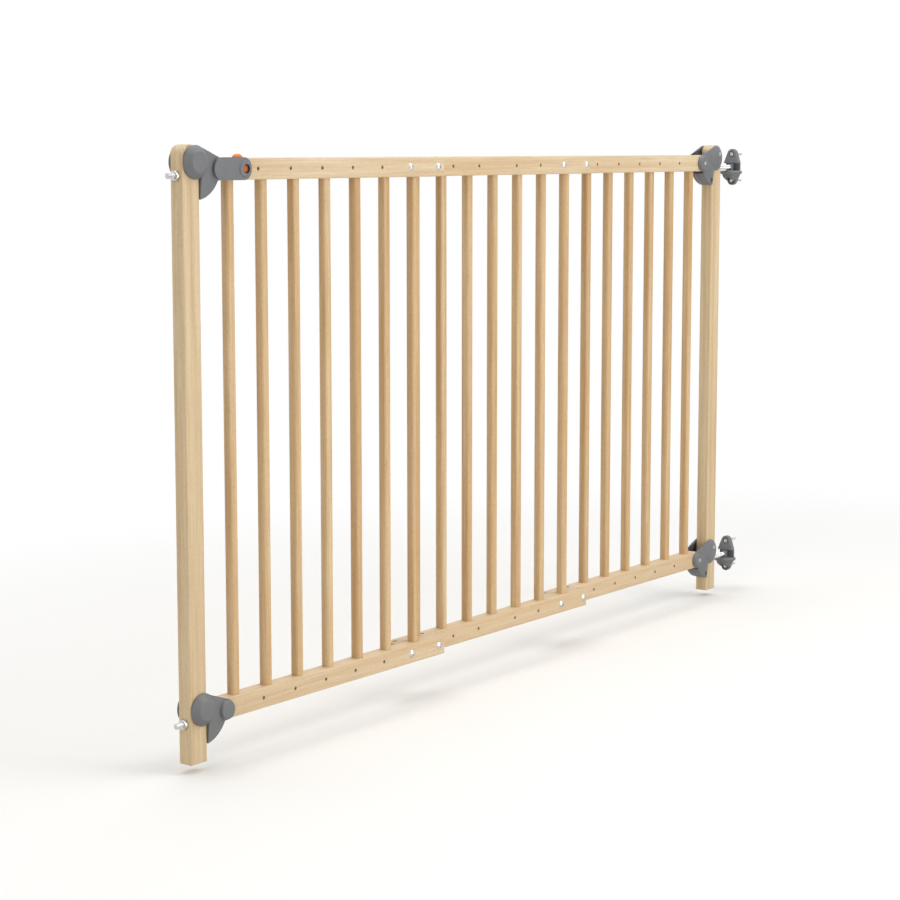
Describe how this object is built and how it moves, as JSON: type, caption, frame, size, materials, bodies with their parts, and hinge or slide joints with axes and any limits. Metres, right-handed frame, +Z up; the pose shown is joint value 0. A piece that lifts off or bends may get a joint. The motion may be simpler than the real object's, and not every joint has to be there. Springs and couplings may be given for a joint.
{
  "type": "extendable wooden safety gate",
  "caption": "Slatted beech safety gate in bolted overlapping sections, hung on lifting links between two posts, with a push-button lock and screw-on wall hinges.",
  "frame": {"origin": "on the wall plane, midway between the two screws of the lower wall bracket", "axes": "X along the gate with +X into the wall, Y through the gate with +Y to its back, +Z up"},
  "size_m": [1.557, 0.0893, 0.8165],
  "materials": {
    "beech": "clear-lacquered beech",
    "grey_plastic": "moulded polyamide",
    "orange_plastic": "moulded",
    "zinc_steel": "bright zinc plated",
    "spring_steel": "bright drawn wire"
  },
  "bodies": {
    "wall_brackets": {"upper_wall_bracket": "grey_plastic", "lower_wall_bracket": "grey_plastic", "wall_screws": "zinc_steel"},
    "right_post": {"right_post": "beech", "right_studs": "zinc_steel", "pivot_barrels": "zinc_steel"},
    "right_upper_link": {"right_upper_link_front": "grey_plastic", "right_upper_link_rear": "grey_plastic", "right_upper_link_sleeves": "zinc_steel", "right_upper_link_screws": "zinc_steel"},
    "right_lower_link": {"right_lower_link_front": "grey_plastic", "right_lower_link_rear": "grey_plastic", "right_lower_link_sleeves": "zinc_steel", "right_lower_link_screws": "zinc_steel"},
    "panel": {"left_top_rail": "beech", "left_bottom_rail": "beech", "left_slats": "beech", "middle_top_rail": "beech", "middle_bottom_rail": "beech", "middle_slats": "beech", "right_top_rail": "beech", "right_bottom_rail": "beech", "right_slats": "beech", "section_bolts": "zinc_steel", "barrel_nuts": "zinc_steel", "button_spring": "spring_steel"},
    "left_upper_link": {"left_upper_link_front": "grey_plastic", "left_upper_link_rear": "grey_plastic", "left_upper_link_sleeves": "zinc_steel", "left_upper_link_screws": "zinc_steel"},
    "left_lower_link": {"left_lower_link_front": "grey_plastic", "left_lower_link_rear": "grey_plastic", "left_lower_link_sleeves": "zinc_steel", "left_lower_link_screws": "zinc_steel"},
    "left_post": {"left_post": "beech", "left_studs": "zinc_steel", "left_stud_nuts": "zinc_steel"},
    "release_button": {"release_button": "orange_plastic"},
    "lock_pin": {"lock_pin": "orange_plastic"}
  },
  "joints": [
    {"name": "gate_swing", "type": "hinge", "parent": "wall_brackets", "child": "right_post", "pos_m": [-0.01, 0, 0], "axis": [0, 0, 1], "range_deg": [-75, 75]},
    {"name": "right_lift", "type": "hinge", "parent": "right_post", "child": "right_upper_link", "pos_m": [-0.0815, 0, 0.7455], "axis": [0, 1, 0], "range_deg": [0, 52]},
    {"name": "right_rail_turn", "type": "hinge", "parent": "right_upper_link", "child": "panel", "pos_m": [-0.133, 0, 0.729], "axis": [0, 1, 0], "range_deg": [-54, 2]},
    {"name": "right_lower_turn", "type": "hinge", "parent": "right_post", "child": "right_lower_link", "pos_m": [-0.0815, 0, 0.0245], "axis": [0, 1, 0], "range_deg": [-2, 54]},
    {"name": "left_lift", "type": "hinge", "parent": "panel", "child": "left_upper_link", "pos_m": [-1.443, -0.044, 0.729], "axis": [0, -1, 0], "range_deg": [0, 52]},
    {"name": "left_post_turn", "type": "hinge", "parent": "left_upper_link", "child": "left_post", "pos_m": [-1.4945, -0.044, 0.7455], "axis": [0, -1, 0], "range_deg": [-54, 2]},
    {"name": "left_lower_turn", "type": "hinge", "parent": "panel", "child": "left_lower_link", "pos_m": [-1.443, -0.044, 0.008], "axis": [0, -1, 0], "range_deg": [-2, 54]},
    {"name": "button_press", "type": "slide", "parent": "panel", "child": "release_button", "axis": [0, 0, -1], "range_m": [0, 0.004], "stiffness_N_per_m": 900, "springref_m": -0.003, "deforming": ["button_spring"]},
    {"name": "pin_retract", "type": "slide", "parent": "panel", "child": "lock_pin", "axis": [0, 1, 0], "range_m": [-0.0002, 0.0022]}
  ],
  "couplings": [
    {"joint": "right_rail_turn", "follows": "right_lift", "ratio": -1},
    {"joint": "right_lower_turn", "follows": "right_lift", "ratio": 1},
    {"joint": "left_post_turn", "follows": "left_lift", "ratio": -1},
    {"joint": "left_lower_turn", "follows": "left_lift", "ratio": 1},
    {"joint": "pin_retract", "follows": "button_press", "ratio": 0.5}
  ]
}
